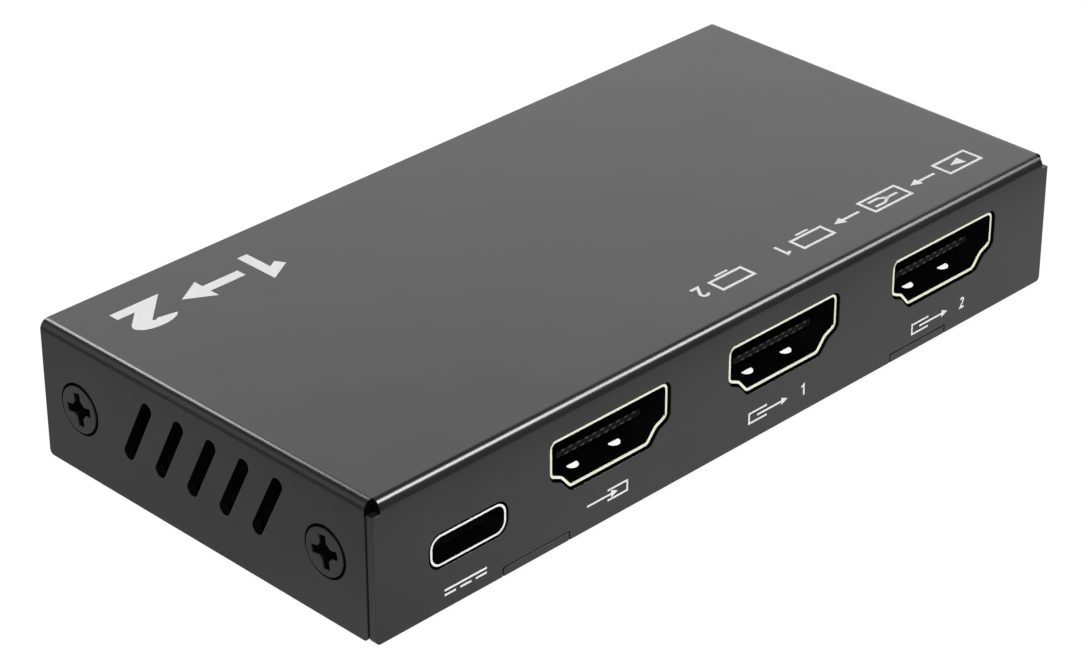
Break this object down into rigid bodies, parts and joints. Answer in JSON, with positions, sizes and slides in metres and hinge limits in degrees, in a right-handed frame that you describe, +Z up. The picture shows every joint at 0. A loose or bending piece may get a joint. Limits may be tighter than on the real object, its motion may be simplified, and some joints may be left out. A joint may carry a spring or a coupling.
{
  "type": "video signal splitter",
  "caption": "Flat folded-metal box that copies one video input to several outputs, with a row of sockets along one long side and slanted vents at both ends.",
  "frame": {"origin": "on the resting plane of the feet, under the middle of the case", "axes": "+X along the row of sockets, from the power socket's end to the last output; +Y from the socket face to the rear wall; +Z up"},
  "size_m": [0.0902, 0.044, 0.015],
  "materials": {
    "case_paint": "fine-textured matt dark grey powder coat",
    "screw_paint": "matt dark grey coated steel",
    "foot_rubber": "matt black rubber",
    "standoff_brass": "plain turned brass",
    "plain_steel": "bright zinc plate",
    "board_laminate": "matt black solder mask",
    "video_shell_metal": "pale gold flash over nickel plate",
    "power_shell_metal": "bright nickel plate",
    "socket_plastic": "black moulded plastic",
    "contact_metal": "gold plate",
    "chip_plastic": "black moulded epoxy",
    "pad_rubber": "soft blue-grey silicone",
    "sink_aluminium": "plain extruded aluminium",
    "inductor_ferrite": "dark grey moulded ferrite",
    "capacitor_can": "black sleeve",
    "light_body": "milky white moulding",
    "guide_clear": "clear moulded plastic",
    "knob_plastic": "black moulded plastic",
    "print_ink": "white printed ink"
  },
  "bodies": {
    "case": {"top_cover": "case_paint", "base_tray": "case_paint", "case_screws": "screw_paint", "rubber_feet": "foot_rubber", "board_standoffs": "standoff_brass", "board_screws": "screw_paint", "circuit_board": "board_laminate", "video_input_shell": "video_shell_metal", "video_input_insulator": "socket_plastic", "video_input_contacts": "contact_metal", "video_output_1_shell": "video_shell_metal", "video_output_1_insulator": "socket_plastic", "video_output_1_contacts": "contact_metal", "video_output_2_shell": "video_shell_metal", "video_output_2_insulator": "socket_plastic", "video_output_2_contacts": "contact_metal", "power_socket_shell": "power_shell_metal", "power_socket_insulator": "socket_plastic", "power_socket_contacts": "contact_metal", "splitter_chip": "chip_plastic", "thermal_pad": "pad_rubber", "heat_sink": "sink_aluminium", "control_chip": "chip_plastic", "surge_arrays": "chip_plastic", "voltage_regulator": "chip_plastic", "power_inductor": "inductor_ferrite", "capacitors": "capacitor_can", "resistors": "chip_plastic", "clock_crystal": "plain_steel", "status_lights": "light_body", "light_guides": "guide_clear", "selector_housing": "plain_steel", "selector_terminals": "contact_metal"},
    "knob": {"selector_knob": "knob_plastic"}
  },
  "joints": [
    {"name": "selector_slide", "type": "slide", "parent": "case", "child": "knob", "axis": [1, 0, 0], "range_m": [-0.002, 0.002]}
  ]
}
